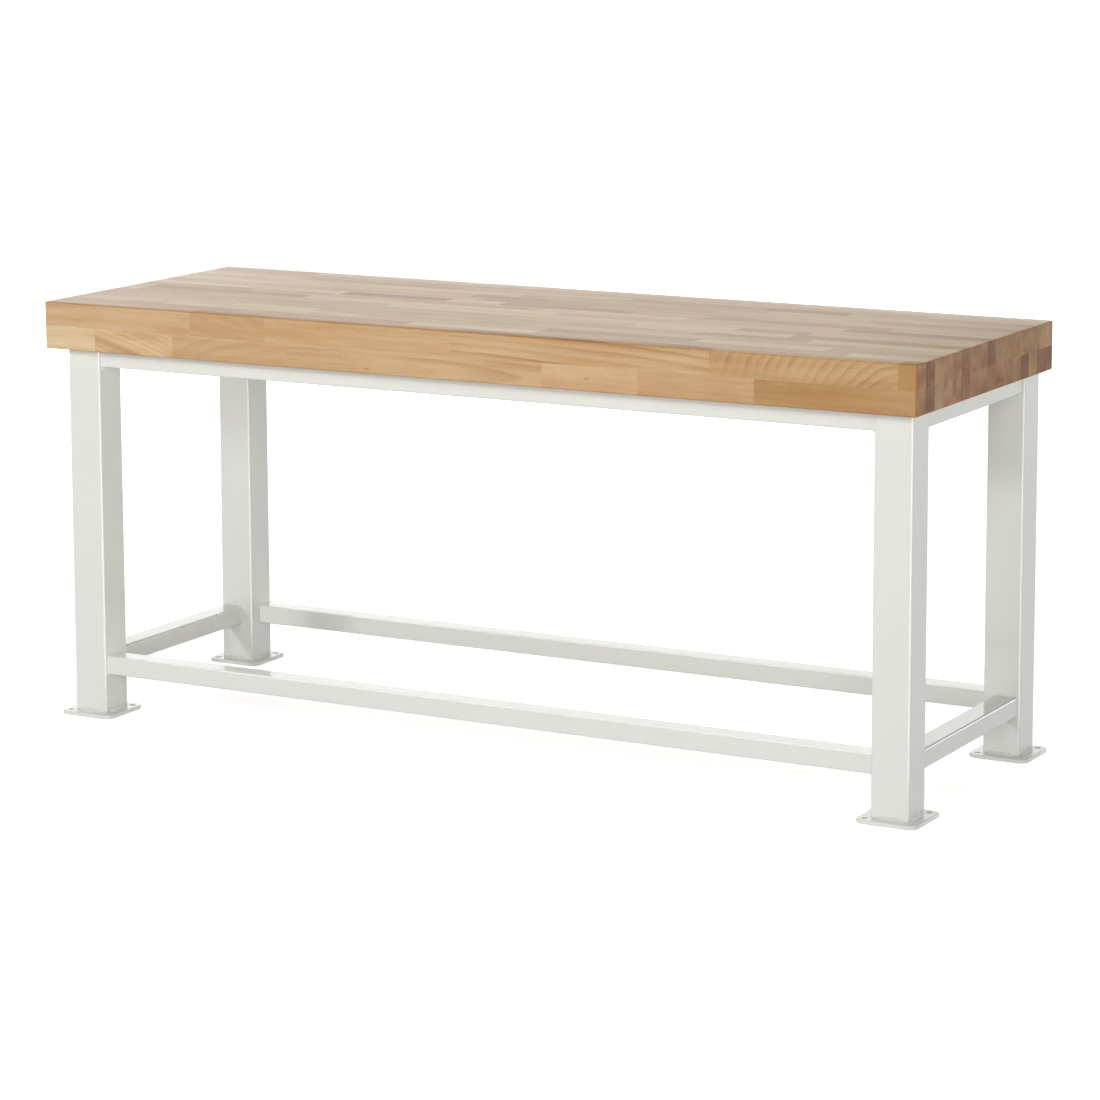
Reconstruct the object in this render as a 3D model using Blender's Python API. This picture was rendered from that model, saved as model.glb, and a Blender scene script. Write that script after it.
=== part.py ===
"""Heavy-duty workbench: a glued beech block on a welded frame of square steel tube.

Metres, +Z up. The origin is on the floor, in the middle of the bench's outline.
+X runs along the bench to its right end, and the front faces -Y.
"""

import math

import bmesh
import bpy
from mathutils import Matrix, Vector

# Worktop: two glued layers of beech staves
TOP_LENGTH = 2.000
TOP_DEPTH = 0.700
BENCH_HEIGHT = 0.900
LAYER_THICKNESS = 0.050
STAVES_PER_LAYER = 16
TOP_EDGE_RADIUS = 0.003
GLUE_LINE = 0.0003

# How far the worktop reaches past the outer faces of the legs
END_OVERHANG = 0.025
FRONT_OVERHANG = 0.045
BACK_OVERHANG = 0.005

# Legs: square tube
LEG_SIZE = 0.080
LEG_WALL = 0.003
LEG_CORNER_RADIUS = 0.005

# Rails: rectangular tube laid flat between the legs
RAIL_WIDTH = 0.050
RAIL_HEIGHT = 0.040
RAIL_WALL = 0.003
RAIL_CORNER_RADIUS = 0.004
RAIL_SETBACK = 0.005
LOWER_RAIL_CLEARANCE = 0.092

# Foot plates, each anchored through two holes on one diagonal
FOOT_MARGIN = 0.025
FOOT_THICKNESS = 0.008
FOOT_CORNER_RADIUS = 0.018
ANCHOR_HOLE_DIAMETER = 0.014
ANCHOR_HOLE_INSET = 0.018

# Fillet welds
RAIL_WELD_SIZE = 0.004
FOOT_WELD_SIZE = 0.004
FOOT_WELD_LENGTH = 0.050
WELD_TAPER = 0.004
WELD_SINK = 0.0005

# Flange screws that hold the worktop down, driven up from inside the upper rails
SCREW_DIAMETER = 0.008
SCREW_GRIP = 0.040
SCREW_POINT = 0.006
SCREW_FLANGE_DIAMETER = 0.018
SCREW_FLANGE_THICKNESS = 0.002
SCREW_HEX_ACROSS_FLATS = 0.013
SCREW_HEX_HEIGHT = 0.006
SCREW_HOLE_CLEARANCE = 0.0004
SCREW_ACCESS_DIAMETER = 0.022
SCREW_END_INSET = 0.150
SCREWS_PER_LONG_RAIL = 3
SCREWS_PER_SHORT_RAIL = 1

# Touching pieces stand this far apart
SEAT_GAP = 0.0003

# Facets on round forms
CORNER_STEPS = 4
HOLE_SIDES = 16
EDGE_STEPS = 2
SMOOTH_ANGLE = math.radians(30)

# Heights and plan positions that follow from the sizes above
UNDERSIDE = BENCH_HEIGHT - 2 * LAYER_THICKNESS
LEG_TOP = UNDERSIDE - SEAT_GAP
LEG_FOOT = FOOT_THICKNESS + SEAT_GAP
UPPER_RAIL_Z = LEG_TOP - RAIL_HEIGHT / 2
LOWER_RAIL_Z = LOWER_RAIL_CLEARANCE + RAIL_HEIGHT / 2

# Plan positions are first measured from the middle of the worktop's front edge
FRAME_FRONT = FRONT_OVERHANG
FRAME_BACK = TOP_DEPTH - BACK_OVERHANG
FRAME_HALF_LENGTH = TOP_LENGTH / 2 - END_OVERHANG
OUTLINE_FRONT = min(0.0, FRAME_FRONT - FOOT_MARGIN)
OUTLINE_BACK = max(TOP_DEPTH, FRAME_BACK + FOOT_MARGIN)
FRONT_EDGE_Y = -(OUTLINE_FRONT + OUTLINE_BACK) / 2

LEG_X = FRAME_HALF_LENGTH - LEG_SIZE / 2
LEG_FRONT_Y = FRONT_EDGE_Y + FRAME_FRONT + LEG_SIZE / 2
LEG_BACK_Y = FRONT_EDGE_Y + FRAME_BACK - LEG_SIZE / 2
FRAME_MIDDLE_Y = (LEG_FRONT_Y + LEG_BACK_Y) / 2
LONG_RAIL_LENGTH = 2 * LEG_X - LEG_SIZE - 2 * SEAT_GAP
SHORT_RAIL_LENGTH = LEG_BACK_Y - LEG_FRONT_Y - LEG_SIZE - 2 * SEAT_GAP
RAIL_INSET = LEG_SIZE / 2 - RAIL_SETBACK - RAIL_WIDTH / 2

STAVE_PITCH = TOP_DEPTH / STAVES_PER_LAYER

PAINT = (0.745, 0.760, 0.715, 1.0)
ZINC = (0.56, 0.57, 0.58, 1.0)
BEECH_TONES = {
    "beech_pale": (0.640, 0.425, 0.255, 1.0),
    "beech_mid": (0.585, 0.365, 0.205, 1.0),
    "beech_warm": (0.520, 0.305, 0.165, 1.0),
}


def clear_scene():
    for obj in list(bpy.data.objects):
        bpy.data.objects.remove(obj, do_unlink=True)


def make_material(name, colour, roughness, metallic=0.0):
    material = bpy.data.materials.new(name)
    material.use_nodes = True
    shader = material.node_tree.nodes["Principled BSDF"]
    shader.inputs["Base Color"].default_value = colour
    shader.inputs["Roughness"].default_value = roughness
    shader.inputs["Metallic"].default_value = metallic
    return material


def make_object(name, shape, material, parent, location=(0.0, 0.0, 0.0), turn=None):
    """Turn a bmesh into a named, smooth-shaded object under the bench's empty."""
    bmesh.ops.recalc_face_normals(shape, faces=shape.faces)
    mesh = bpy.data.meshes.new(name)
    shape.to_mesh(mesh)
    shape.free()
    mesh.shade_smooth()
    mesh.set_sharp_from_angle(angle=SMOOTH_ANGLE)
    mesh.materials.append(material)
    obj = bpy.data.objects.new(name, mesh)
    bpy.context.scene.collection.objects.link(obj)
    obj.parent = parent
    obj.location = location
    if turn is not None:
        obj.rotation_euler = turn
    return obj


def make_helper(name, shape, owner):
    """A hidden body that is cut out of, or welded onto, the object that owns it."""
    helper = make_object(name, shape, owner.data.materials[0], owner)
    helper.hide_render = True
    helper.display_type = "WIRE"
    return helper


def combine(target, helper, operation):
    boolean = target.modifiers.new(helper.name, "BOOLEAN")
    boolean.operation = operation
    boolean.solver = "EXACT"
    boolean.object = helper


def rounded_rectangle(width, depth, radius):
    """Points round a rectangle centred on the origin, with an arc at each corner."""
    points = []
    corners = ((1, 1, 0), (-1, 1, 90), (-1, -1, 180), (1, -1, 270))
    for side_x, side_y, start in corners:
        centre_x = side_x * (width / 2 - radius)
        centre_y = side_y * (depth / 2 - radius)
        for step in range(CORNER_STEPS + 1):
            angle = math.radians(start + 90 * step / CORNER_STEPS)
            points.append((centre_x + radius * math.cos(angle), centre_y + radius * math.sin(angle)))
    return points


def add_ring(shape, points, z):
    return [shape.verts.new((x, y, z)) for x, y in points]


def skin(shape, lower, upper):
    """Side faces between two rings that have the same number of points."""
    count = len(lower)
    for index in range(count):
        after = (index + 1) % count
        shape.faces.new((lower[index], lower[after], upper[after], upper[index]))


def prism(shape, points, bottom, top):
    lower = add_ring(shape, points, bottom)
    upper = add_ring(shape, points, top)
    skin(shape, lower, upper)
    shape.faces.new(list(reversed(lower)))
    shape.faces.new(upper)


def tube(width, depth, wall, radius, length):
    """An open tube along Z, centred on the origin."""
    shape = bmesh.new()
    inner_radius = max(radius - wall, wall / 4)
    outside = rounded_rectangle(width, depth, radius)
    inside = rounded_rectangle(width - 2 * wall, depth - 2 * wall, inner_radius)
    rings = []
    for z in (-length / 2, length / 2):
        rings.append((add_ring(shape, outside, z), add_ring(shape, inside, z)))
    skin(shape, rings[0][0], rings[1][0])
    skin(shape, rings[1][1], rings[0][1])
    skin(shape, rings[1][0], rings[1][1])
    skin(shape, rings[0][1], rings[0][0])
    return shape


def add_weld(shape, size, length, place):
    """A fillet bead along local X that tapers off at both ends.

    Local Y points away from the first wall and local Z from the second. The bead
    reaches a little way into the first wall, so that it joins it.
    """
    half = length / 2
    sections = ((-half, 0.4), (-half + WELD_TAPER, 1.0), (half - WELD_TAPER, 1.0), (half, 0.4))
    rings = []
    for along, share in sections:
        reach = size * share
        profile = ((-WELD_SINK, 0.0), (reach, 0.0), (0.62 * reach, 0.62 * reach), (-WELD_SINK, reach))
        rings.append([shape.verts.new(place @ Vector((along, y, z))) for y, z in profile])
    for first, second in zip(rings, rings[1:]):
        skin(shape, first, second)
    shape.faces.new(list(reversed(rings[0])))
    shape.faces.new(rings[-1])


def frame_of(origin, along, away, up):
    """A matrix that carries local X, Y and Z to three directions at a point."""
    columns = Matrix((along, away, up)).transposed().to_4x4()
    return Matrix.Translation(origin) @ columns


def make_stave(layer, index, material, parent):
    """One stave: a square bar whose edges are rounded only where they lie on the block's outside."""
    is_upper = layer == "upper"
    shape = bmesh.new()
    bmesh.ops.create_cube(shape, size=1.0)
    size = Vector((TOP_LENGTH, STAVE_PITCH, LAYER_THICKNESS))
    bottom = UNDERSIDE + (LAYER_THICKNESS if is_upper else 0.0)
    front = FRONT_EDGE_Y + index * STAVE_PITCH
    glued_front = index > 0
    glued_back = index < STAVES_PER_LAYER - 1
    low = Vector((-size.x / 2, front + glued_front * GLUE_LINE / 2, bottom + is_upper * GLUE_LINE / 2))
    high = Vector((size.x / 2, front + size.y - glued_back * GLUE_LINE / 2,
                   bottom + size.z - (not is_upper) * GLUE_LINE / 2))
    middle = (low + high) / 2
    bmesh.ops.scale(shape, vec=high - low, verts=shape.verts)

    def is_outside(face):
        normal = face.normal
        if abs(normal.x) > 0.5:
            return True
        if abs(normal.y) > 0.5:
            return not (glued_front if normal.y < 0 else glued_back)
        return (normal.z > 0) == is_upper

    shape.normal_update()
    edges = [edge for edge in shape.edges if all(is_outside(face) for face in edge.link_faces)]
    bmesh.ops.bevel(shape, geom=edges, offset=TOP_EDGE_RADIUS, segments=EDGE_STEPS, profile=0.5, affect="EDGES")
    name = f"worktop_{layer}_stave_{index + 1:02d}"
    return make_object(name, shape, material, parent, middle)


def make_leg(name, x, y, material, parent):
    length = LEG_TOP - LEG_FOOT
    shape = tube(LEG_SIZE, LEG_SIZE, LEG_WALL, LEG_CORNER_RADIUS, length)
    leg = make_object(f"leg_{name}", shape, material, parent, (x, y, (LEG_TOP + LEG_FOOT) / 2))
    beads = bmesh.new()
    up = Vector((0, 0, 1))
    for quarter in range(4):
        angle = math.pi / 2 * quarter
        away = Vector((round(math.cos(angle)), round(math.sin(angle)), 0))
        place = frame_of(away * LEG_SIZE / 2 - up * length / 2, away.cross(up), away, up)
        add_weld(beads, FOOT_WELD_SIZE, FOOT_WELD_LENGTH, place)
    combine(leg, make_helper(f"foot_weld_{name}", beads, leg), "UNION")


def make_foot(name, x, y, material, parent):
    size = LEG_SIZE + 2 * FOOT_MARGIN
    shape = bmesh.new()
    prism(shape, rounded_rectangle(size, size, FOOT_CORNER_RADIUS), 0.0, FOOT_THICKNESS)
    foot = make_object(f"foot_plate_{name}", shape, material, parent, (x, y, 0.0))
    holes = bmesh.new()
    reach = size / 2 - ANCHOR_HOLE_INSET
    for side in (-1, 1):
        place = Matrix.Translation((side * reach, side * reach, FOOT_THICKNESS / 2))
        bmesh.ops.create_cone(holes, cap_ends=True, segments=HOLE_SIDES, radius1=ANCHOR_HOLE_DIAMETER / 2,
                              radius2=ANCHOR_HOLE_DIAMETER / 2, depth=2 * FOOT_THICKNESS, matrix=place)
    combine(foot, make_helper(f"anchor_holes_{name}", holes, foot), "DIFFERENCE")


def make_rail(name, length, location, heading, inward, material, parent):
    """A rail along local X, welded to the legs along its inner face and its underside."""
    shape = tube(RAIL_HEIGHT, RAIL_WIDTH, RAIL_WALL, RAIL_CORNER_RADIUS, length)
    bmesh.ops.rotate(shape, matrix=Matrix.Rotation(math.pi / 2, 3, "Y"), verts=shape.verts)
    rail = make_object(name, shape, material, parent, location, (0.0, 0.0, heading))
    beads = bmesh.new()
    up = Vector((0, 0, 1))
    for end in (-1, 1):
        tip = Vector((end * length / 2, 0, 0))
        back = Vector((-end, 0, 0))
        side = Vector((0, inward, 0))
        place = frame_of(tip + side * RAIL_WIDTH / 2, up, side, back)
        add_weld(beads, RAIL_WELD_SIZE, RAIL_HEIGHT - 2 * RAIL_CORNER_RADIUS, place)
        place = frame_of(tip - up * RAIL_HEIGHT / 2, side, -up, back)
        add_weld(beads, RAIL_WELD_SIZE, RAIL_WIDTH - 2 * RAIL_CORNER_RADIUS, place)
    combine(rail, make_helper(f"{name}_welds", beads, rail), "UNION")
    return rail


def turned(profile, sides):
    """A solid of revolution about Z from (radius, height) points that start and end on the axis."""
    shape = bmesh.new()
    rings = []
    for radius, height in profile[1:-1]:
        angles = [2 * math.pi * step / sides for step in range(sides)]
        rings.append(add_ring(shape, [(radius * math.cos(a), radius * math.sin(a)) for a in angles], height))
    for lower, upper in zip(rings, rings[1:]):
        skin(shape, lower, upper)
    shape.faces.new(list(reversed(rings[0])))
    shape.faces.new(rings[-1])
    return shape


def make_screw_hole(name, rail, along):
    """Access hole in the rail's lower wall, clearance hole in its upper wall and in the wood."""
    narrow = SCREW_DIAMETER / 2 + SCREW_HOLE_CLEARANCE
    wide = SCREW_ACCESS_DIAMETER / 2
    seat = RAIL_HEIGHT / 2 - RAIL_WALL
    bottom = -RAIL_HEIGHT
    top = seat + SCREW_GRIP + SCREW_HOLE_CLEARANCE
    shape = turned(((0, bottom), (wide, bottom), (wide, 0), (narrow, 0), (narrow, top), (0, top)), HOLE_SIDES)
    hole = make_helper(f"{name}_hole", shape, rail)
    hole.location = (along, 0.0, 0.0)
    return hole


def make_screw(name, rail, along, material):
    """A hex flange screw with its flange under the rail's upper wall."""
    radius = SCREW_DIAMETER / 2
    flange = SCREW_FLANGE_DIAMETER / 2
    seat = RAIL_HEIGHT / 2 - RAIL_WALL - SEAT_GAP
    point = seat + SCREW_GRIP
    low = seat - SCREW_FLANGE_THICKNESS
    profile = ((0, low), (flange, low), (flange, seat), (radius, seat), (radius, point - SCREW_POINT),
               (radius / 4, point), (0, point))
    shape = turned(profile, HOLE_SIDES)
    screw = make_object(name, shape, material, rail, (along, 0.0, 0.0))
    hexagon = bmesh.new()
    corner = SCREW_HEX_ACROSS_FLATS / 2 / math.cos(math.pi / 6)
    angles = [math.pi / 3 * step for step in range(6)]
    points = [(corner * math.cos(a), corner * math.sin(a)) for a in angles]
    prism(hexagon, points, low - SCREW_HEX_HEIGHT, low + SCREW_FLANGE_THICKNESS / 2)
    combine(screw, make_helper(f"{name}_head", hexagon, screw), "UNION")


def screw_places(length, count):
    """Places along a rail: one in the middle, or an even row between the end insets."""
    if count == 1:
        return [0.0]
    reach = length / 2 - SCREW_END_INSET
    return [-reach + 2 * reach * step / (count - 1) for step in range(count)]


def build():
    clear_scene()
    bench = bpy.data.objects.new("workbench", None)
    bpy.context.scene.collection.objects.link(bench)
    paint = make_material("frame_paint", PAINT, 0.38)
    zinc = make_material("zinc_screw", ZINC, 0.35, 1.0)
    beech = [make_material(name, colour, 0.5) for name, colour in BEECH_TONES.items()]

    for side, x in (("left", -LEG_X), ("right", LEG_X)):
        for face, y in (("front", LEG_FRONT_Y), ("back", LEG_BACK_Y)):
            make_leg(f"{face}_{side}", x, y, paint, bench)
            make_foot(f"{face}_{side}", x, y, paint, bench)

    # Name, length, middle in plan, heading, side of the rail that faces into the bench, screws
    rails = (
        ("front", LONG_RAIL_LENGTH, (0.0, LEG_FRONT_Y - RAIL_INSET), 0.0, 1, SCREWS_PER_LONG_RAIL),
        ("back", LONG_RAIL_LENGTH, (0.0, LEG_BACK_Y + RAIL_INSET), 0.0, -1, SCREWS_PER_LONG_RAIL),
        ("left", SHORT_RAIL_LENGTH, (-LEG_X - RAIL_INSET, FRAME_MIDDLE_Y), math.pi / 2, -1, SCREWS_PER_SHORT_RAIL),
        ("right", SHORT_RAIL_LENGTH, (LEG_X + RAIL_INSET, FRAME_MIDDLE_Y), math.pi / 2, 1, SCREWS_PER_SHORT_RAIL),
    )
    holes = []
    for name, length, (x, y), heading, inward, screws in rails:
        make_rail(f"lower_rail_{name}", length, (x, y, LOWER_RAIL_Z), heading, inward, paint, bench)
        upper = make_rail(f"upper_rail_{name}", length, (x, y, UPPER_RAIL_Z), heading, inward, paint, bench)
        for number, along in enumerate(screw_places(length, screws), start=1):
            label = f"worktop_screw_{name}_{number}"
            hole = make_screw_hole(label, upper, along)
            combine(upper, hole, "DIFFERENCE")
            make_screw(label, upper, along, zinc)
            holes.append((hole, y + along * math.sin(heading)))

    hole_radius = SCREW_DIAMETER / 2 + SCREW_HOLE_CLEARANCE
    for index in range(STAVES_PER_LAYER):
        make_stave("upper", index, beech[(2 * index + 1) % len(beech)], bench)
        stave = make_stave("lower", index, beech[(index * index) % len(beech)], bench)
        front = FRONT_EDGE_Y + index * STAVE_PITCH
        for hole, hole_y in holes:
            if front - hole_radius < hole_y < front + STAVE_PITCH + hole_radius:
                combine(stave, hole, "DIFFERENCE")


build()
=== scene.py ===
"""Looks of the heavy-duty workbench: a glued beech block on a light grey powder-coated frame.

Metres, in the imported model's frame: +X along the bench to its right end, -Y to the front, +Z up.
"""

import math
import random
from dataclasses import dataclass

import bmesh
import bpy
from mathutils import Matrix, Vector


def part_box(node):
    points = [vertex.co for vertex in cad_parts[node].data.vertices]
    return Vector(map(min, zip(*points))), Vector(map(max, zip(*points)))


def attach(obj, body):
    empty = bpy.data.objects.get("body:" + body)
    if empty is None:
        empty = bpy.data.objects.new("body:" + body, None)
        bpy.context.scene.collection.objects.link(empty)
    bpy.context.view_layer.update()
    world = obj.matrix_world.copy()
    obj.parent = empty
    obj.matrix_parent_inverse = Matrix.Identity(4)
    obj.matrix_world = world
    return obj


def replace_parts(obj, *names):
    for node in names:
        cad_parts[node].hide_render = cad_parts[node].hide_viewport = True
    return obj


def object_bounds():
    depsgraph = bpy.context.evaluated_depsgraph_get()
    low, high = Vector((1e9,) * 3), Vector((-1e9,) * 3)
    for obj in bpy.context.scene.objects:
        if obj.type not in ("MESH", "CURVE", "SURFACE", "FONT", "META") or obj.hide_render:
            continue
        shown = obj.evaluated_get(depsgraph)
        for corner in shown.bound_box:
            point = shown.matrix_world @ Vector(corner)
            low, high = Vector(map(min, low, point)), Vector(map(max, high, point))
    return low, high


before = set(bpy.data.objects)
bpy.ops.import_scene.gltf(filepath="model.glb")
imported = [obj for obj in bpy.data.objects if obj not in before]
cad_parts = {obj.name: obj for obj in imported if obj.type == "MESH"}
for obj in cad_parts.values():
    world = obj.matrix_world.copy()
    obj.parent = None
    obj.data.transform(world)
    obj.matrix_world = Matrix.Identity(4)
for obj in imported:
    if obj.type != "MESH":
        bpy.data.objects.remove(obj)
CAD_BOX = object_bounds()
FRONT = CAD_BOX[0][1]

# The camera stands to the right of the front and looks a little down
CAMERA_PLACE = (3.6670, -6.6426, 1.9037)
CAMERA_YAW = 28.745
CAMERA_PITCH = 8.699
CAMERA_ROLL = -0.178
CAMERA_LENS = 120.68
CAMERA_RISE = -0.15
SENSOR_WIDTH = 36.0

# Worktop
STAVES_PER_LAYER = 16
EDGE_RADIUS = 0.0025
EDGE_STEPS = 3
GLUE_REACH = 0.00012
FLAT_NORMAL = 0.99
END_NORMAL = 0.9
FACING = 0.5

# Frame tubes and foot plates
LEG_SIZE = 0.080
LEG_RADIUS = 0.005
RAIL_HEIGHT = 0.040
RAIL_WIDTH = 0.050
RAIL_RADIUS = 0.004
TUBE_WALL = 0.003
CORNER_STEPS = 8
FLAT_MARGIN = 0.0004
PLATE_RADIUS = 0.018
PLATE_EDGE = 0.0022
PLATE_EDGE_STEPS = 4
ANCHOR_HOLE_DIAMETER = 0.014
ANCHOR_HOLE_INSET = 0.018
ACCESS_HOLE_DIAMETER = 0.022
HOLE_SIDES = 40
DRILL_LENGTHS = 4
SHARP_ANGLE = 35
CORNERS = ("front_left", "front_right", "back_left", "back_right")
UP = Vector((0.0, 0.0, 1.0))
INWARD = {
    "front": Vector((0.0, 1.0, 0.0)),
    "back": Vector((0.0, -1.0, 0.0)),
    "left": Vector((1.0, 0.0, 0.0)),
    "right": Vector((-1.0, 0.0, 0.0)),
}

# Welds
WELD_SIZE = 0.0058
WELD_SINK = 0.0004
WELD_RIPPLE = 0.0026
WELD_RIPPLE_DEPTH = 0.10
WELD_STEPS_PER_RIPPLE = 4
WELD_FEWEST_STEPS = 12
WELD_END_SIZE = 0.45
WELD_TAPER = 0.006
WELD_FACE_ANGLES = (15, 45, 75)
WELD_FULLNESS = 0.82
FOOT_WELD_LENGTH = 0.052
RAIL_WELD_MARGIN = 0.003

# Paint and zinc: linear colours, and noise scales per metre
PAINT = (0.735, 0.748, 0.700, 1.0)
PAINT_SHADE = 0.965
PAINT_CLOUD_SCALE = (9.0, 9.0, 9.0)
PAINT_PEEL_SCALE = (420.0, 420.0, 420.0)
PAINT_ROUGHNESS = (0.34, 0.42)
ZINC = (0.60, 0.61, 0.62, 1.0)
ZINC_SHADE = 0.8
ZINC_SPOT_SCALE = (300.0, 300.0, 300.0)
ZINC_ROUGHNESS = (0.25, 0.45)

# Beech: the linear colours of its blocks, and the tints that the grain multiplies them by
BEECH = {
    "straw": (0.695, 0.525, 0.305),
    "pale": (0.645, 0.447, 0.240),
    "rose": (0.608, 0.412, 0.228),
    "mid": (0.576, 0.383, 0.201),
    "honey": (0.535, 0.337, 0.169),
    "amber": (0.522, 0.336, 0.158),
    "warm": (0.448, 0.256, 0.102),
    "brown": (0.470, 0.286, 0.116),
    "dark": (0.402, 0.228, 0.090),
    "umber": (0.455, 0.275, 0.150),
    "deep": (0.380, 0.212, 0.122),
}
EDGE_TINT = (0.86, 0.74, 0.60)
FIBRE_SHADES = (0.90, 1.10)
FLECK_TINT = (0.93, 0.86, 0.78, 1.0)
STREAK_TINTS = ((0.93, 0.87, 0.79, 1.0), (1.06, 1.11, 1.19, 1.0))
CLOUD_TINT = (0.94, 0.87, 0.80, 1.0)
LINE_TINTS = ((0.95, 0.91, 0.86, 1.0), (1.12, 1.20, 1.36, 1.0))
RING_TINT = (0.68, 0.56, 0.44, 1.0)
KNOT_TINT = (0.74, 0.58, 0.44, 1.0)
SOAKED_TINTS = ((0.57, 0.435, 0.42, 1.0), (0.84, 0.765, 0.775, 1.0))
SIDE_ROUGHNESS = (0.34, 0.52)
END_ROUGHNESS = (0.55, 0.75)

# Beech: noise scales per metre along the bench, across it and up, and where each mark fades in
BLOCK_SPREAD = (41.0, 23.0, 31.0)
WARP_SCALE = (6.0, 19.0, 19.0)
WARP_REACH = (0.030, 0.012, 0.012)
UNEVEN_SCALE = (3.0, 30.0, 30.0)
FIBRE_SCALE = (7.0, 330.0, 330.0)
STREAK_SCALE = (2.4, 52.0, 52.0)
STREAK_RISE = (0.30, 0.70)
CLOUD_SCALE = (5.0, 24.0, 24.0)
CLOUD_RISE = (0.44, 0.68)
FLECK_SCALE = (75.0, 620.0, 620.0)
FLECK_RISE = (0.60, 0.72)
BLOTCH_SCALE = (1.0, 20.0, 18.0)
BLOTCH_RISE = (0.34, 0.66)

# Beech: growth rings and knots; a ramp is pairs of position and level
RING_RAMP = ((0.0, 0.0), (0.30, 0.06), (0.72, 0.62), (0.88, 1.0), (0.96, 0.55), (1.0, 0.0))
RING_LEVELS = (0.35, 1.0)
UNEVEN_RAMP = ((0.0, 0.0), (0.34, 0.25), (0.68, 1.0), (1.0, 1.0))
LINES_PER_RING = 5.0
LINE_RAMP = ((0.0, 0.0), (0.35, 1.0), (0.70, 1.0), (1.0, 0.0))
WIDEST_RING = 0.05
WIDE_RING_RISE = (0.45, 0.80)
KNOT_RAMP = ((0.0, 1.0), (0.40, 0.7), (1.0, 0.0))
SIDE_KNOT_REACH = (0.009, 0.003, 0.003)
END_KNOT_REACH = (0.020, 0.020, 0.014)
NO_KNOT = (9.0, 9.0, 9.0)

# Blocks that the photograph doesn't settle are drawn at random between these
GRAIN_SEED = 7
BLOCK_LENGTHS = (0.16, 0.62)
RING_DRIFTS = (-0.6, 0.6)
RING_DISTANCES = (0.02, 0.13)
RING_STRETCHES = (0.02, 0.12)
RING_SPACINGS = (0.006, 0.014)
RING_FIGURES = (0.3, 0.8)

# Floor, world and lamps
FLOOR_SIZE = 60.0
FLOOR_DROP = 0.0005
FLOOR_BOUNCE = (0.65, 0.65, 0.65, 1.0)
FLOOR_SHADED = (0.55, 0.55, 0.55, 1.0)
FLOOR_GLOW = 0.80
FLOOR_REACH = 6.0
FLOOR_RISE = (0.3, 1.0)
WHITE = (1.0, 1.0, 1.0, 1.0)
WORLD_LIGHT = 0.50
CEILING_LIGHT = 0.25
CEILING_RISE = (0.27, 0.36)
LAMP_TARGET = Vector((0.0, 0.0, 0.5))
LEG_STRIP_AWAY = Vector((0.25, -0.17, 0.0))
LEG_STRIP_SIZE = (0.2, 0.82)
LEG_STRIP_POWER = 2.2
RAIL_STRIP_RISE = 0.44
RAIL_STRIP_SIZE = (2.6, 0.5)
RAIL_STRIP_POWER = 20.0


@dataclass
class Block:
    """One length of a stave: where it ends, its tone, and the growth rings that it was cut from.

    The rings lie round a centre. A small stretch draws them out along the grain into long arches,
    and the figure is how dark they are. The end has the same tone unless its own is given. A top tone,
    where given, is painted light: a lighter tone on the top face for the light and sheen that fall on it.
    """

    end: float
    tone: str
    centre: tuple
    stretch: float
    spacing: float
    figure: float
    knot: tuple = NO_KNOT
    end_tone: str = ""
    painted_lit_top_tone: str = ""


# The front staves as the photograph shows them, from the left end to the right
FRONT_UPPER = (
    Block(-0.631, "rose", (-1.4, FRONT + 0.10, 0.86), 0.03, 0.0060, 0.3),
    Block(-0.446, "honey", (-0.78, FRONT + 0.02, 0.74), 0.50, 0.0200, 0.4),
    Block(-0.007, "mid", (0.30, FRONT - 0.06, 0.93), 0.03, 0.0050, 0.2),
    Block(0.569, "mid", (-0.075, FRONT, 0.8013), 0.10, 0.0152, 1.4),
    # The top face of this block gets a lighter tone: painted light and sheen
    Block(0.962, "amber", (1.0, FRONT, 0.800), 0.7, 0.0145, 0.85, painted_lit_top_tone="pale"),
    Block(1.000, "warm", (2.0, FRONT + 0.09, 0.84), 0.03, 0.0050, 0.3, end_tone="pale"),
)
FRONT_LOWER = (
    Block(-0.872, "straw", (-1.2, FRONT - 0.05, 0.76), 0.10, 0.0080, 0.3),
    Block(-0.675, "pale", (-2.0825, FRONT, 0.322), 0.34, 0.04125, 1.2),
    Block(-0.395, "mid", (-0.35, FRONT, 0.72), 0.40, 0.0200, 0.4),
    Block(0.202, "mid", (-0.35, FRONT + 0.012, 0.815), 0.06, 0.0110, 0.7, knot=(-0.202, FRONT, 0.8105)),
    Block(0.414, "rose", (0.9, FRONT + 0.06, 0.84), 0.04, 0.0060, 0.3, knot=(0.302, FRONT, 0.825)),
    Block(0.664, "honey", (0.1, FRONT + 0.12, 0.80), 0.02, 0.0060, 0.2),
    Block(1.000, "warm", (0.2, FRONT + 0.10, 0.83), 0.03, 0.0080, 0.5, end_tone="mid"),
)

# The darkest and lightest lengths on the top: stave from 0 at the front, start, end, tone
TOP_LENGTHS = (
    (2, 0.15, 0.49, "brown"),
    (4, 0.44, 0.69, "brown"),
    (5, 0.28, 0.47, "straw"),
    (5, 0.63, 1.00, "brown"),
    (6, -0.95, -0.60, "rose"),
    (6, 0.49, 0.65, "brown"),
    (7, -0.95, -0.55, "brown"),
    (8, 0.00, 0.33, "straw"),
    (8, 0.69, 1.00, "dark"),
    (9, -0.51, -0.25, "dark"),
    (9, -0.12, 0.19, "brown"),
    (9, 0.36, 0.77, "brown"),
    (11, -0.24, -0.05, "brown"),
    (12, -0.80, -0.64, "straw"),
    (13, 0.41, 0.60, "dark"),
)

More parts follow.
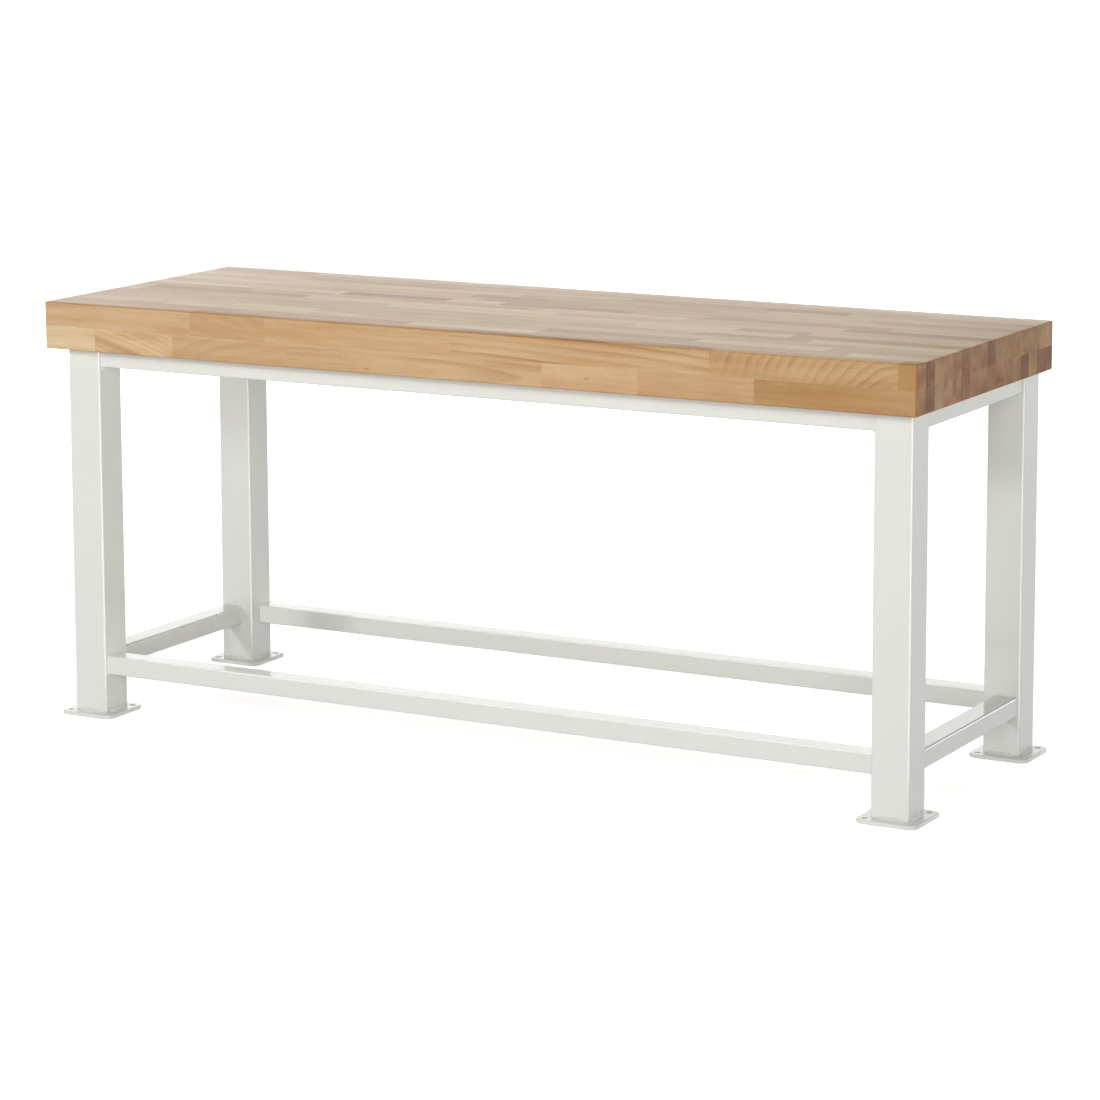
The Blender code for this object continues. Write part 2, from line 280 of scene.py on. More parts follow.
# Tones of the right end, stave by stave from the front, its knots, and the tones of all other blocks
END_TONES = {
    "upper": "mid umber pale pale pale umber pale mid umber pale pale pale pale pale pale straw",
    "lower": "mid umber straw pale pale umber mid mid mid mid mid mid deep pale umber umber",
}
END_KNOTS = {
    ("upper", 1): (1.0, FRONT + 0.076, 0.872),
    ("lower", 9): (1.0, FRONT + 0.402, 0.818),
}
COMMON_TONES = ("straw", "straw", "pale", "pale", "rose", "mid", "mid", "honey")


def link(tree, source, target):
    tree.links.new(source, target)


def add_node(tree, kind, **settings):
    node = tree.nodes.new(kind)
    for name, value in settings.items():
        setattr(node, name, value)
    return node


def new_material(name):
    material = bpy.data.materials.new(name)
    material.use_nodes = True
    tree = material.node_tree
    return material, tree, tree.nodes["Principled BSDF"]


def set_or_link(tree, sockets, values):
    """Give each socket its plain value, or link it to the output it is given."""
    for socket, value in zip(sockets, values):
        if isinstance(value, (int, float, tuple)):
            socket.default_value = value
        elif value is not None:
            link(tree, value, socket)


def math_node(tree, operation, first, second=None, clamp=False):
    """A Math node on sockets or plain numbers, and its result."""
    node = add_node(tree, "ShaderNodeMath", operation=operation, use_clamp=clamp)
    set_or_link(tree, node.inputs, (first, second))
    return node.outputs[0]


def vector_node(tree, operation, first, second=None):
    """A Vector Math node on sockets or plain triples, and its result."""
    node = add_node(tree, "ShaderNodeVectorMath", operation=operation)
    set_or_link(tree, node.inputs, (first, second))
    return node.outputs["Value" if operation == "LENGTH" else "Vector"]


def blend_colours(tree, mode, amount, first, second):
    """A colour Mix node on sockets or plain colours, and its result."""
    node = add_node(tree, "ShaderNodeMix", data_type="RGBA", blend_type=mode)
    sockets = (node.inputs["Factor"], node.inputs[6], node.inputs[7])
    set_or_link(tree, sockets, (amount, first, second))
    return node.outputs[2]


def noise(tree, place, scale, detail, output="Fac"):
    """Noise that is stretched by a different scale along each axis."""
    node = add_node(tree, "ShaderNodeTexNoise")
    node.inputs["Scale"].default_value = 1.0
    node.inputs["Detail"].default_value = detail
    node.inputs["Roughness"].default_value = 0.55
    link(tree, vector_node(tree, "MULTIPLY", place, scale), node.inputs["Vector"])
    return node.outputs[output]


def ramp(tree, value, stops):
    """Grey levels over a value between 0 and 1, and the result."""
    node = add_node(tree, "ShaderNodeValToRGB")
    elements = node.color_ramp.elements
    while len(elements) < len(stops):
        elements.new(0.5)
    for element, (position, level) in zip(elements, stops):
        element.position = position
        element.color = (level, level, level, 1.0)
    link(tree, value, node.inputs["Fac"])
    return node.outputs["Color"]


def rise(tree, value, limits):
    """0 up to the lower limit, 1 from the upper one, and a straight rise between them."""
    low, high = limits
    return ramp(tree, value, ((0.0, 0.0), (low, 0.0), (high, 1.0), (1.0, 1.0)))


def between(tree, share, low, high):
    """A value that goes from low to high as the share goes from 0 to 1."""
    node = add_node(tree, "ShaderNodeMapRange")
    link(tree, share, node.inputs["Value"])
    node.inputs["To Min"].default_value = low
    node.inputs["To Max"].default_value = high
    return node.outputs["Result"]


def random_per_turn(tree, turns):
    """One random value for all of each whole turn."""
    node = add_node(tree, "ShaderNodeTexWhiteNoise", noise_dimensions="1D")
    link(tree, math_node(tree, "FLOOR", turns), node.inputs["W"])
    return node.outputs["Value"]


def object_place(tree):
    return add_node(tree, "ShaderNodeTexCoord").outputs["Object"]


def attribute(tree, name, output):
    node = add_node(tree, "ShaderNodeAttribute", attribute_type="GEOMETRY", attribute_name=name)
    return node.outputs[output]


def add_bump(tree, shader, height, strength, distance):
    bump = add_node(tree, "ShaderNodeBump")
    bump.inputs["Strength"].default_value = strength
    bump.inputs["Distance"].default_value = distance
    link(tree, height, bump.inputs["Height"])
    link(tree, bump.outputs["Normal"], shader.inputs["Normal"])


def shade(colour, share):
    """A darker version of a colour."""
    return tuple(share * channel for channel in colour[:3]) + (1.0,)


def ring_turns(tree, place, own, centre, stretch, spacing):
    """How many growth rings lie between a point and the centre of its block's rings."""
    warp = noise(tree, own, WARP_SCALE, detail=2.0, output="Color")
    shift = vector_node(tree, "SUBTRACT", warp, (0.5, 0.5, 0.5))
    shift = vector_node(tree, "MULTIPLY", shift, WARP_REACH)
    offset = vector_node(tree, "SUBTRACT", vector_node(tree, "ADD", place, shift), centre)
    weights = add_node(tree, "ShaderNodeCombineXYZ")
    set_or_link(tree, weights.inputs, (stretch, 1.0, 1.0))
    distance = vector_node(tree, "LENGTH", vector_node(tree, "MULTIPLY", offset, weights.outputs[0]))
    return math_node(tree, "DIVIDE", distance, spacing)


def ring_darkness(tree, own, turns, figure):
    """How much a growth ring darkens the wood: some rings, and parts of each, more than others."""
    ring = ramp(tree, math_node(tree, "FRACT", turns), RING_RAMP)
    ring = math_node(tree, "MULTIPLY", ring, between(tree, random_per_turn(tree, turns), *RING_LEVELS))
    uneven = ramp(tree, noise(tree, own, UNEVEN_SCALE, detail=2.0), UNEVEN_RAMP)
    return math_node(tree, "MULTIPLY", ring, math_node(tree, "MULTIPLY", figure, uneven))


def add_fine_lines(tree, grain, turns, spacing, ring):
    """Very wide rings hold finer lines, some of them pale."""
    line_turns = math_node(tree, "MULTIPLY", turns, LINES_PER_RING)
    line = ramp(tree, math_node(tree, "FRACT", line_turns), LINE_RAMP)
    line = math_node(tree, "MULTIPLY", line, random_per_turn(tree, line_turns))
    wide = rise(tree, math_node(tree, "DIVIDE", spacing, WIDEST_RING), WIDE_RING_RISE)
    wide = math_node(tree, "MULTIPLY", wide, math_node(tree, "SUBTRACT", 1.0, ring, clamp=True))
    return blend_colours(tree, "MULTIPLY", wide, grain, blend_colours(tree, "MIX", line, *LINE_TINTS))


def add_knot(tree, grain, place, reach):
    """Darken the wood round the block's knot."""
    knot = attribute(tree, "knot", "Vector")
    away = vector_node(tree, "DIVIDE", vector_node(tree, "SUBTRACT", place, knot), reach)
    near = ramp(tree, vector_node(tree, "LENGTH", away), KNOT_RAMP)
    return blend_colours(tree, "MULTIPLY", near, grain, KNOT_TINT)


def make_beech(name, end_grain):
    """Solid beech, as the long sides of a stave show it, or its sawn ends.

    Growth rings lie round each block's own centre, with fibres, streaks, flecks and a knot.
    """
    material, tree, shader = new_material(name)
    place = object_place(tree)
    centre = attribute(tree, "ring_centre", "Vector")
    form = add_node(tree, "ShaderNodeSeparateXYZ")
    link(tree, attribute(tree, "ring_form", "Vector"), form.inputs[0])
    stretch, spacing, figure = form.outputs

    # Each block reads the noise at its own place
    own = vector_node(tree, "ADD", place, vector_node(tree, "MULTIPLY", centre, BLOCK_SPREAD))
    turns = ring_turns(tree, place, own, centre, stretch, spacing)
    ring = ring_darkness(tree, own, turns, figure)
    fibre = noise(tree, own, FIBRE_SCALE, detail=4.0)
    fleck = rise(tree, noise(tree, own, FLECK_SCALE, detail=1.0), FLECK_RISE)

    fibre_shade = between(tree, fibre, *FIBRE_SHADES)
    grain = blend_colours(tree, "MULTIPLY", 1.0, attribute(tree, "tone", "Color"), fibre_shade)
    grain = blend_colours(tree, "MULTIPLY", fleck, grain, FLECK_TINT)
    if not end_grain:
        streak = rise(tree, noise(tree, own, STREAK_SCALE, detail=3.0), STREAK_RISE)
        streaked = blend_colours(tree, "MIX", streak, *STREAK_TINTS)
        grain = blend_colours(tree, "MULTIPLY", 1.0, grain, streaked)
        cloud = rise(tree, noise(tree, own, CLOUD_SCALE, detail=2.0), CLOUD_RISE)
        grain = blend_colours(tree, "MULTIPLY", cloud, grain, CLOUD_TINT)
        grain = add_fine_lines(tree, grain, turns, spacing, ring)
    grain = blend_colours(tree, "MULTIPLY", ring, grain, RING_TINT)
    grain = add_knot(tree, grain, place, END_KNOT_REACH if end_grain else SIDE_KNOT_REACH)

    if end_grain:
        # Sawn ends drink in more oil, unevenly
        blotch = rise(tree, noise(tree, own, BLOTCH_SCALE, detail=2.0), BLOTCH_RISE)
        soaked = blend_colours(tree, "MIX", blotch, *SOAKED_TINTS)
        grain = blend_colours(tree, "MULTIPLY", 1.0, grain, soaked)
        link(tree, between(tree, fibre, *END_ROUGHNESS), shader.inputs["Roughness"])
        shader.inputs["Specular IOR Level"].default_value = 0.2
    else:
        link(tree, between(tree, fibre, *SIDE_ROUGHNESS), shader.inputs["Roughness"])
        shader.inputs["Specular IOR Level"].default_value = 0.4
        shader.inputs["Coat Weight"].default_value = 0.2
        shader.inputs["Coat Roughness"].default_value = 0.25
    link(tree, grain, shader.inputs["Base Color"])
    add_bump(tree, shader, fibre, strength=0.12, distance=0.0004)
    return material


def make_paint():
    """Glossy powder coat with a fine orange peel and a slightly uneven tone."""
    material, tree, shader = new_material("powder_coat")
    place = object_place(tree)
    cloud = noise(tree, place, PAINT_CLOUD_SCALE, detail=3.0)
    coat = blend_colours(tree, "MIX", cloud, shade(PAINT, PAINT_SHADE), PAINT)
    link(tree, coat, shader.inputs["Base Color"])
    link(tree, between(tree, cloud, *PAINT_ROUGHNESS), shader.inputs["Roughness"])
    shader.inputs["Coat Weight"].default_value = 0.8
    shader.inputs["Coat Roughness"].default_value = 0.07
    peel = noise(tree, place, PAINT_PEEL_SCALE, detail=2.0)
    add_bump(tree, shader, peel, strength=0.05, distance=0.0003)
    return material


def make_zinc():
    """Zinc plating with a spotty sheen."""
    material, tree, shader = new_material("zinc_plate")
    spots = noise(tree, object_place(tree), ZINC_SPOT_SCALE, detail=3.0)
    plating = blend_colours(tree, "MIX", spots, shade(ZINC, ZINC_SHADE), ZINC)
    link(tree, plating, shader.inputs["Base Color"])
    link(tree, between(tree, spots, *ZINC_ROUGHNESS), shader.inputs["Roughness"])
    shader.inputs["Metallic"].default_value = 1.0
    return material


def is_seen(tree):
    """1 for rays that show the background: camera, glossy and transmission rays."""
    path = add_node(tree, "ShaderNodeLightPath").outputs
    seen = math_node(tree, "ADD", path["Is Camera Ray"], path["Is Glossy Ray"], clamp=True)
    return math_node(tree, "ADD", seen, path["Is Transmission Ray"], clamp=True)


def node_box(node):
    return tuple(Vector(corner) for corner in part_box(node))


def foot_of(node):
    """The middle of the bottom of a node's box."""
    low, high = node_box(node)
    return Vector(((low.x + high.x) / 2, (low.y + high.y) / 2, low.z))


def make_piece(name, shape, material):
    """A new piece of the bench that rides on its one body."""
    bmesh.ops.recalc_face_normals(shape, faces=shape.faces)
    mesh = bpy.data.meshes.new(name)
    shape.to_mesh(mesh)
    shape.free()
    mesh.shade_smooth()
    mesh.set_sharp_from_angle(angle=math.radians(SHARP_ANGLE))
    mesh.materials.append(material)
    piece = bpy.data.objects.new(name, mesh)
    bpy.context.scene.collection.objects.link(piece)
    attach(piece, "root")
    return piece


def random_lengths(chance, layer, index, low, high):
    """The lengths listed for the top of this stave, and between them lengths of random size and tone."""
    marked = [length[1:] for length in TOP_LENGTHS if (layer, index) == ("upper", length[0])]
    lengths = []
    place = low.x
    for start, end, tone in marked + [(high.x, None, None)]:
        while place < start:
            stop = place + chance.uniform(*BLOCK_LENGTHS)
            if start - stop < BLOCK_LENGTHS[0]:
                stop = start
            lengths.append((place, stop, chance.choice(COMMON_TONES)))
            place = stop
        if tone:
            lengths.append((start, end, tone))
            place = end
    return lengths


def random_blocks(chance, layer, index, low, high):
    """Blocks of uneven length along one stave, each cut from its own tree."""
    lengths = random_lengths(chance, layer, index, low, high)
    middle = (low + high) / 2
    blocks = []
    for start, end, tone in lengths:
        angle = chance.uniform(0.0, 2 * math.pi)
        away = chance.uniform(*RING_DISTANCES)
        centre = (
            (start + end) / 2 + chance.uniform(*RING_DRIFTS),
            middle.y + away * math.cos(angle),
            middle.z + away * math.sin(angle),
        )
        form = [chance.uniform(*limits) for limits in (RING_STRETCHES, RING_SPACINGS, RING_FIGURES)]
        blocks.append(Block(end, tone, centre, *form))
    blocks[-1].knot = END_KNOTS.get((layer, index), NO_KNOT)
    blocks[-1].end_tone = END_TONES[layer].split()[index]
    return blocks


def stave_shape(low, high, layer, index):
    """A stave whose edges are rounded only where they lie on the block's outside.

    Its glued sides reach into the glue line, which leaves only a hairline between staves.
    """
    last = STAVES_PER_LAYER - 1
    low = low - GLUE_REACH * Vector((0, index > 0, layer == "upper"))
    high = high + GLUE_REACH * Vector((0, index < last, layer == "lower"))
    shape = bmesh.new()
    bmesh.ops.create_cube(shape, size=1.0)
    bmesh.ops.scale(shape, vec=high - low, verts=shape.verts)
    bmesh.ops.translate(shape, vec=(low + high) / 2, verts=shape.verts)
    shape.normal_update()

    def is_outside(face):
        normal = face.normal
        if abs(normal.x) > FACING:
            return True
        if abs(normal.y) > FACING:
            return index == (0 if normal.y < 0 else last)
        return (normal.z > 0) == (layer == "upper")

    edges = [edge for edge in shape.edges if all(is_outside(face) for face in edge.link_faces)]
    bmesh.ops.bevel(
        shape, geom=edges, offset=EDGE_RADIUS, segments=EDGE_STEPS, profile=0.5, affect="EDGES"
    )
    return shape


def face_colour(face, block):
    """The tone of a block's end, top or side, darker along a rounded edge; a given top tone paints the top
    lighter, as painted light.
    """
    tone = block.tone
    if face.material_index:
        tone = block.end_tone or tone
    elif face.normal.z > FACING:
        # A given top tone paints the top face lighter: painted light and sheen
        tone = block.painted_lit_top_tone or tone
    colour = BEECH[tone]
    if max(abs(part) for part in face.normal) < FLAT_NORMAL:
        colour = tuple(level * tint for level, tint in zip(colour, EDGE_TINT))
    return colour + (1.0,)


def write_blocks(piece, blocks):
    """Give each face the tone and the growth rings of the block that it belongs to."""
    mesh = piece.data
    mesh.attributes.new("tone", "FLOAT_COLOR", "FACE")
    for name in ("ring_centre", "ring_form", "knot"):
        mesh.attributes.new(name, "FLOAT_VECTOR", "FACE")
    fields = mesh.attributes
    for face in mesh.polygons:
        block = next((b for b in blocks if face.center.x < b.end), blocks[-1])
        fields["tone"].data[face.index].color = face_colour(face, block)
        fields["ring_centre"].data[face.index].vector = block.centre
        fields["ring_form"].data[face.index].vector = (block.stretch, block.spacing, block.figure)
        fields["knot"].data[face.index].vector = block.knot


def make_worktop(beech, beech_ends):
    """All the staves of both layers, each one closed bar cut into its blocks."""
    chance = random.Random(GRAIN_SEED)
    shown = {("upper", 0): FRONT_UPPER, ("lower", 0): FRONT_LOWER}
    for layer in ("upper", "lower"):
        for index in range(STAVES_PER_LAYER):
            node = f"worktop_{layer}_stave_{index + 1:02d}"
            low, high = node_box(node)
            blocks = random_blocks(chance, layer, index, low, high)
            blocks = shown.get((layer, index), blocks)
            shape = stave_shape(low, high, layer, index)
            for block in blocks[:-1]:
                bmesh.ops.bisect_plane(
                    shape,
                    geom=shape.verts[:] + shape.edges[:] + shape.faces[:],
                    plane_co=(block.end, 0.0, 0.0),
                    plane_no=(1.0, 0.0, 0.0),
                )
            piece = make_piece(f"stave_{layer}_{index + 1:02d}", shape, beech)
            piece.data.materials.append(beech_ends)
            for face in piece.data.polygons:
                face.material_index = int(abs(face.normal.x) > END_NORMAL)
            write_blocks(piece, blocks)
            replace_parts(piece, node)


def skin(shape, first, second):
    """Faces between two rings that have the same number of points."""
    for index in range(len(first)):
        after = (index + 1) % len(first)
        shape.faces.new((first[index], first[after], second[after], second[index]))


def bead(shape, start, end, away, up, size):
    """A rippled fillet weld from one point to another, in the corner between two walls.

    One wall faces away and the other up. The bead sinks a little into both.
    """
    along = end - start
    length = along.length
    count = max(WELD_FEWEST_STEPS, int(length / WELD_RIPPLE) * WELD_STEPS_PER_RIPPLE)
    rings = []
    for step in range(count + 1):
        share = step / count
        place = start + along * share
        ripple = 1.0 + WELD_RIPPLE_DEPTH * math.sin(2 * math.pi * share * length / WELD_RIPPLE)
        taper = min(1.0, WELD_END_SIZE + min(share, 1.0 - share) * length / WELD_TAPER)
        reach = size * ripple * taper
        ring = [place - away * WELD_SINK - up * WELD_SINK, place + away * reach - up * WELD_SINK]
        for turn in WELD_FACE_ANGLES:
            angle = math.radians(turn)
            ring.append(place + (away * math.cos(angle) + up * math.sin(angle)) * reach * WELD_FULLNESS)
        ring.append(place + up * reach - away * WELD_SINK)
        rings.append([shape.verts.new(point) for point in ring])
    for first, second in zip(rings, rings[1:]):
        skin(shape, first, second)
    shape.faces.new(list(reversed(rings[0])))
    shape.faces.new(rings[-1])


def rounded_ring(width, depth, radius):
    """Points round a rectangle: an arc at each corner, and a close point on the flat at each end of it."""
    points = []
    for quarter in range(4):
        side_x = 1 if quarter in (0, 3) else -1
        side_y = 1 if quarter in (0, 1) else -1
        middle = Vector((side_x * (width / 2 - radius), side_y * (depth / 2 - radius)))
        for step in range(CORNER_STEPS + 1):
            angle = math.pi / 2 * (quarter + step / CORNER_STEPS)
            out = Vector((math.cos(angle), math.sin(angle)))
            along = Vector((-out.y, out.x))
            point = middle + out * radius
            if step == 0:
                points.append(point - along * FLAT_MARGIN)
            points.append(point)
            if step == CORNER_STEPS:
                points.append(point + along * FLAT_MARGIN)
    return points


def add_ring(shape, points, z):
    return [shape.verts.new((point.x, point.y, z)) for point in points]


def tube(width, depth, radius, length):
    """A hollow tube that stands on the origin."""
    outer = rounded_ring(width, depth, radius)
    inner = rounded_ring(width - 2 * TUBE_WALL, depth - 2 * TUBE_WALL, radius - TUBE_WALL)
    shape = bmesh.new()
    levels = ((outer, 0), (outer, length), (inner, length), (inner, 0))
    rings = [add_ring(shape, points, z) for points, z in levels]
    for first, second in zip(rings, rings[1:] + rings[:1]):
        skin(shape, first, second)
    bmesh.ops.recalc_face_normals(shape, faces=shape.faces)
    return shape


def drill(places, diameter, depth):
    """Round cutters that point up, each centred on its place."""
    shape = bmesh.new()
    for place in places:
        bmesh.ops.create_cone(
            shape,
            cap_ends=True,
            segments=HOLE_SIDES,
            radius1=diameter / 2,
            radius2=diameter / 2,
            depth=depth,
            matrix=Matrix.Translation(place),
        )
    return shape


def cut(shape, cutter):
    """The shape less the cutter; both are used up."""
    holders = []
    for name, part in (("whole", shape), ("cutter", cutter)):
        mesh = bpy.data.meshes.new(name)
        part.to_mesh(mesh)
        part.free()
        holders.append(bpy.data.objects.new(name, mesh))
        bpy.context.scene.collection.objects.link(holders[-1])
    whole, tool = holders
    boolean = whole.modifiers.new("cut", "BOOLEAN")
    boolean.operation = "DIFFERENCE"
    boolean.object = tool
    result = bmesh.new()
    result.from_mesh(whole.evaluated_get(bpy.context.evaluated_depsgraph_get()).to_mesh())
    for holder in holders:
        mesh = holder.data
        bpy.data.objects.remove(holder)
        bpy.data.meshes.remove(mesh)
    return result


def make_legs(paint):
    """Four square tubes, returned with their feet for the lamps that edge them."""
    legs = []
    for name in CORNERS:
        node = f"leg_{name}"
        low, high = node_box(node)
        foot = foot_of(node)
        shape = tube(LEG_SIZE, LEG_SIZE, LEG_RADIUS, high.z - low.z)
        bmesh.ops.translate(shape, vec=foot, verts=shape.verts)
        leg = make_piece(f"painted_{node}", shape, paint)
        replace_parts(leg, node)
        legs.append((foot, leg))
    return legs


def plate_levels(thickness):
    """The inset and height of each ring up a plate's edge, which is rounded below and above."""
    levels = [(PLATE_EDGE + FLAT_MARGIN, 0.0)]
    for step in range(PLATE_EDGE_STEPS + 1):
        angle = math.pi / 2 * step / PLATE_EDGE_STEPS
        levels.append((PLATE_EDGE * (1 - math.sin(angle)), PLATE_EDGE * (1 - math.cos(angle))))
    levels.append((0.0, PLATE_EDGE + FLAT_MARGIN))
    return levels + [(inset, thickness - z) for inset, z in reversed(levels)]


def make_foot_plates(paint):
    """Plates with round corners, softened arrises and two anchor holes on one diagonal."""
    for name in CORNERS:
        node = f"foot_plate_{name}"
        low, high = node_box(node)
        size = high.x - low.x
        thickness = high.z - low.z
        shape = bmesh.new()
        rings = []
        for inset, z in plate_levels(thickness):
            points = rounded_ring(size - 2 * inset, size - 2 * inset, PLATE_RADIUS - inset)
            rings.append(add_ring(shape, points, z))
        for first, second in zip(rings, rings[1:]):
            skin(shape, first, second)
        shape.faces.new(rings[0])
        shape.faces.new(rings[-1])
        bmesh.ops.recalc_face_normals(shape, faces=shape.faces)
        reach = size / 2 - ANCHOR_HOLE_INSET
        places = [Vector((side * reach, side * reach, 0.0)) for side in (-1, 1)]
        shape = cut(shape, drill(places, ANCHOR_HOLE_DIAMETER, DRILL_LENGTHS * thickness))
        bmesh.ops.translate(shape, vec=foot_of(node), verts=shape.verts)
        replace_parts(make_piece(f"painted_{node}", shape, paint), node)


def rail_edge(level, side):
    """Both ends of a rail's upper outer edge, which runs along inward.cross(UP)."""
    low, high = node_box(f"{level}_rail_{side}")
    inward = INWARD[side]
    along = inward.cross(UP)
    first = high.copy()
    last = high.copy()
    for axis in range(2):
        near, far = low[axis], high[axis]
        if inward[axis] + along[axis] < 0:
            near, far = far, near
        first[axis] = near
        last[axis] = near if inward[axis] else far
    return first, last


def drill_access_holes(shape, side, underside):
    """The rail's shape with an access hole under each worktop screw."""
    places = []
    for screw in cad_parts:
        if screw.startswith(f"worktop_screw_{side}"):
            place = foot_of(screw)
            place.z = underside
            places.append(place)
    return cut(shape, drill(places, ACCESS_HOLE_DIAMETER, DRILL_LENGTHS * TUBE_WALL))


def make_rails(paint):
    """Rails of flat tube; the long lower ones are returned for the lamps that edge them."""
    long_rails = []
    for level in ("upper", "lower"):
        for side, inward in INWARD.items():
            node = f"{level}_rail_{side}"
            first, last = rail_edge(level, side)
            shape = tube(RAIL_WIDTH, RAIL_HEIGHT, RAIL_RADIUS, (last - first).length)
            turn = Matrix((inward, UP, inward.cross(UP))).transposed().to_4x4()
            start = first + inward * RAIL_WIDTH / 2 - UP * RAIL_HEIGHT / 2
            bmesh.ops.transform(shape, matrix=Matrix.Translation(start) @ turn, verts=shape.verts)
            if level == "upper":
                shape = drill_access_holes(shape, side, first.z - RAIL_HEIGHT)
            rail = make_piece(f"painted_{node}", shape, paint)
            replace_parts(rail, node)
            if level == "lower" and inward.y:
                long_rails.append(((first + last) / 2 + inward * RAIL_WIDTH / 2, rail))
    return long_rails


def make_foot_welds(paint):
    """A stitch weld in the middle of each side of each leg, on its foot plate."""
    for name in CORNERS:
        low, high = node_box(f"foot_plate_{name}")
        middle = (low + high) / 2
        middle.z = high.z
        shape = bmesh.new()
        for away in INWARD.values():
            foot = middle + away * LEG_SIZE / 2
            reach = away.cross(UP) * FOOT_WELD_LENGTH / 2
            bead(shape, foot - reach, foot + reach, away, UP, WELD_SIZE)
        make_piece(f"foot_weld_{name}", shape, paint)


def make_rail_welds(paint):
    """Beads at both ends of each rail, up its inner face and along its underside."""
    for level in ("upper", "lower"):
        for side, inward in INWARD.items():
            first, last = rail_edge(level, side)
            shape = bmesh.new()
            for tip, back in ((first, inward.cross(UP)), (last, UP.cross(inward))):
                face = tip + inward * RAIL_WIDTH
                upper = face - UP * RAIL_WELD_MARGIN
                lower = face - UP * (RAIL_HEIGHT - RAIL_WELD_MARGIN)
                bead(shape, upper, lower, inward, back, WELD_SIZE)
                under = tip - UP * RAIL_HEIGHT
                outer = under + inward * RAIL_WELD_MARGIN
                inner = under + inward * (RAIL_WIDTH - RAIL_WELD_MARGIN)
                bead(shape, outer, inner, -UP, back, WELD_SIZE)
            make_piece(f"{level}_rail_weld_{side}", shape, paint)


def dress_screws(zinc):
    for name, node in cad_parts.items():
        if name.startswith("worktop_screw"):
            node.data.materials.clear()
            node.data.materials.append(zinc)


def make_floor_material():
    """White to the eye, with a faint shadow near the bench, and plain grey to the light it bounces."""
    material = bpy.data.materials.new("floor")
    material.use_nodes = True
    tree = material.node_tree
    tree.nodes.clear()
    plain = add_node(tree, "ShaderNodeBsdfDiffuse")
    plain.inputs["Color"].default_value = FLOOR_BOUNCE
    shaded = add_node(tree, "ShaderNodeBsdfDiffuse")
    shaded.inputs["Color"].default_value = FLOOR_SHADED
    glow = add_node(tree, "ShaderNodeEmission")
    away = vector_node(tree, "LENGTH", object_place(tree))
    far = rise(tree, math_node(tree, "DIVIDE", away, FLOOR_REACH), FLOOR_RISE)
    link(tree, between(tree, far, FLOOR_GLOW, 1.0), glow.inputs["Strength"])
    seen = add_node(tree, "ShaderNodeAddShader")
    link(tree, shaded.outputs[0], seen.inputs[0])
    link(tree, glow.outputs[0], seen.inputs[1])
    mixed = add_node(tree, "ShaderNodeMixShader")
    link(tree, is_seen(tree), mixed.inputs[0])
    link(tree, plain.outputs[0], mixed.inputs[1])
    link(tree, seen.outputs[0], mixed.inputs[2])
    output = add_node(tree, "ShaderNodeOutputMaterial")
    link(tree, mixed.outputs[0], output.inputs["Surface"])
    return material


def make_floor():
    """A wide floor, just under the foot plates."""
    shape = bmesh.new()
    bmesh.ops.create_grid(shape, x_segments=1, y_segments=1, size=FLOOR_SIZE)
    mesh = bpy.data.meshes.new("floor")
    shape.to_mesh(mesh)
    shape.free()
    mesh.materials.append(make_floor_material())
    floor = bpy.data.objects.new("floor", mesh)
    floor.location.z = -FLOOR_DROP
    bpy.context.scene.collection.objects.link(floor)


def make_world():
    """A white background at eye level under a dimmer ceiling; it lights the bench less than it shows."""
    world = bpy.data.worlds.new("studio")
    world.use_nodes = True
    tree = world.node_tree
    background = tree.nodes["Background"]
    background.inputs["Color"].default_value = WHITE
    heading = add_node(tree, "ShaderNodeSeparateXYZ")
    link(tree, add_node(tree, "ShaderNodeTexCoord").outputs["Generated"], heading.inputs[0])
    overhead = rise(tree, heading.outputs[2], CEILING_RISE)
    level = between(tree, overhead, 1.0, CEILING_LIGHT)
    share = between(tree, is_seen(tree), WORLD_LIGHT, 1.0)
    link(tree, math_node(tree, "MULTIPLY", level, share), background.inputs["Strength"])
    bpy.context.scene.world = world


def make_lamp(name, place, size, power, target=LAMP_TARGET, diffuse=True, gloss=True):
    """A rectangular soft light that the camera doesn't see."""
    lamp = bpy.data.lights.new(name, "AREA")
    lamp.shape = "RECTANGLE"
    lamp.size, lamp.size_y = size
    lamp.energy = power
    holder = bpy.data.objects.new(name, lamp)
    holder.location = place
    holder.rotation_euler = (target - Vector(place)).to_track_quat("-Z", "Y").to_euler()
    holder.visible_camera = False
    holder.visible_diffuse = diffuse
    holder.visible_glossy = gloss
    bpy.context.scene.collection.objects.link(holder)
    return holder


def make_strip(piece, place, size, power, target):
    """A lamp that only glints on the edges of one piece."""
    strip = make_lamp(f"strip_{piece.name}", place, size, power, target, diffuse=False)
    strip.light_linking.receiver_collection = bpy.data.collections.new(strip.name)
    strip.light_linking.receiver_collection.objects.link(piece)


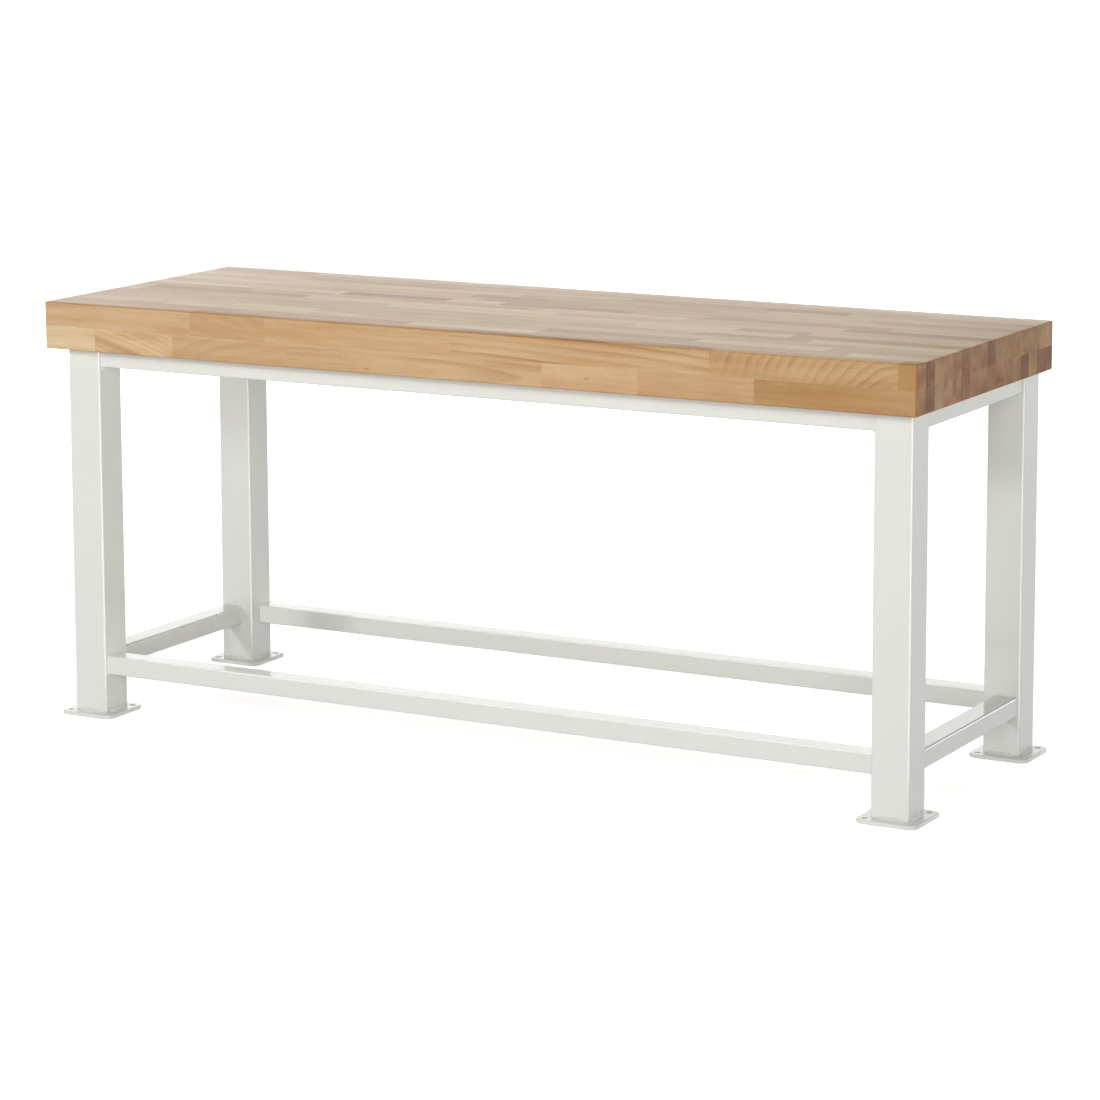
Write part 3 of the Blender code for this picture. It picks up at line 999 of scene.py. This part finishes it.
def make_lights(legs, long_rails):
    """Soft lamps all round, two cards behind, and strips beside the legs and over the long rails."""
    make_lamp("left_key", (-3.2, -6.0, 2.6), size=(0.7, 0.7), power=120.0, gloss=False)
    make_lamp("front_softbox", (0.6, -6.0, 3.4), size=(0.9, 0.9), power=54.0, gloss=False)
    make_lamp("front_fill", (3.0, -6.6, 2.1), size=(3.6, 3.0), power=150.0, gloss=False)
    make_lamp("right_fill", (9.0, -2.5, 0.9), size=(4.0, 1.7), power=132.0, gloss=False)
    make_lamp("top_softbox", (-0.6, -0.5, 5.0), size=(3.0, 2.0), power=54.0)
    make_lamp("rear_fill", (-4.5, 5.5, 1.8), size=(2.6, 2.0), power=290.0, gloss=False)
    make_lamp("back_card", (-2.0, 15.0, 2.5), size=(24.0, 4.8), power=260.0, diffuse=False)
    make_lamp("back_right_card", (7.5, 15.0, 1.5), size=(5.0, 2.8), power=290.0, diffuse=False)
    for foot, leg in legs:
        middle = foot + UP * LEG_STRIP_SIZE[1] / 2
        make_strip(leg, middle + LEG_STRIP_AWAY, LEG_STRIP_SIZE, LEG_STRIP_POWER, middle)
    for top, rail in long_rails:
        make_strip(rail, top + UP * RAIL_STRIP_RISE, RAIL_STRIP_SIZE, RAIL_STRIP_POWER, top)


def make_camera():
    lens = bpy.data.cameras.new("camera")
    lens.lens = CAMERA_LENS
    lens.sensor_width = SENSOR_WIDTH
    lens.shift_y = CAMERA_RISE
    camera = bpy.data.objects.new("camera", lens)
    camera.location = CAMERA_PLACE
    turn = Matrix.Rotation(math.radians(CAMERA_YAW), 3, "Z")
    tip = Matrix.Rotation(math.radians(90.0 - CAMERA_PITCH), 3, "X")
    roll = Matrix.Rotation(math.radians(CAMERA_ROLL), 3, "Z")
    camera.rotation_euler = (turn @ tip @ roll).to_euler()
    bpy.context.scene.collection.objects.link(camera)
    bpy.context.scene.camera = camera


bpy.context.scene.view_settings.view_transform = "Standard"
make_camera()
make_world()
make_floor()
powder_coat = make_paint()
legs = make_legs(powder_coat)
make_foot_plates(powder_coat)
long_rails = make_rails(powder_coat)
make_foot_welds(powder_coat)
make_rail_welds(powder_coat)
dress_screws(make_zinc())
make_worktop(make_beech("beech", False), make_beech("beech_ends", True))
make_lights(legs, long_rails)
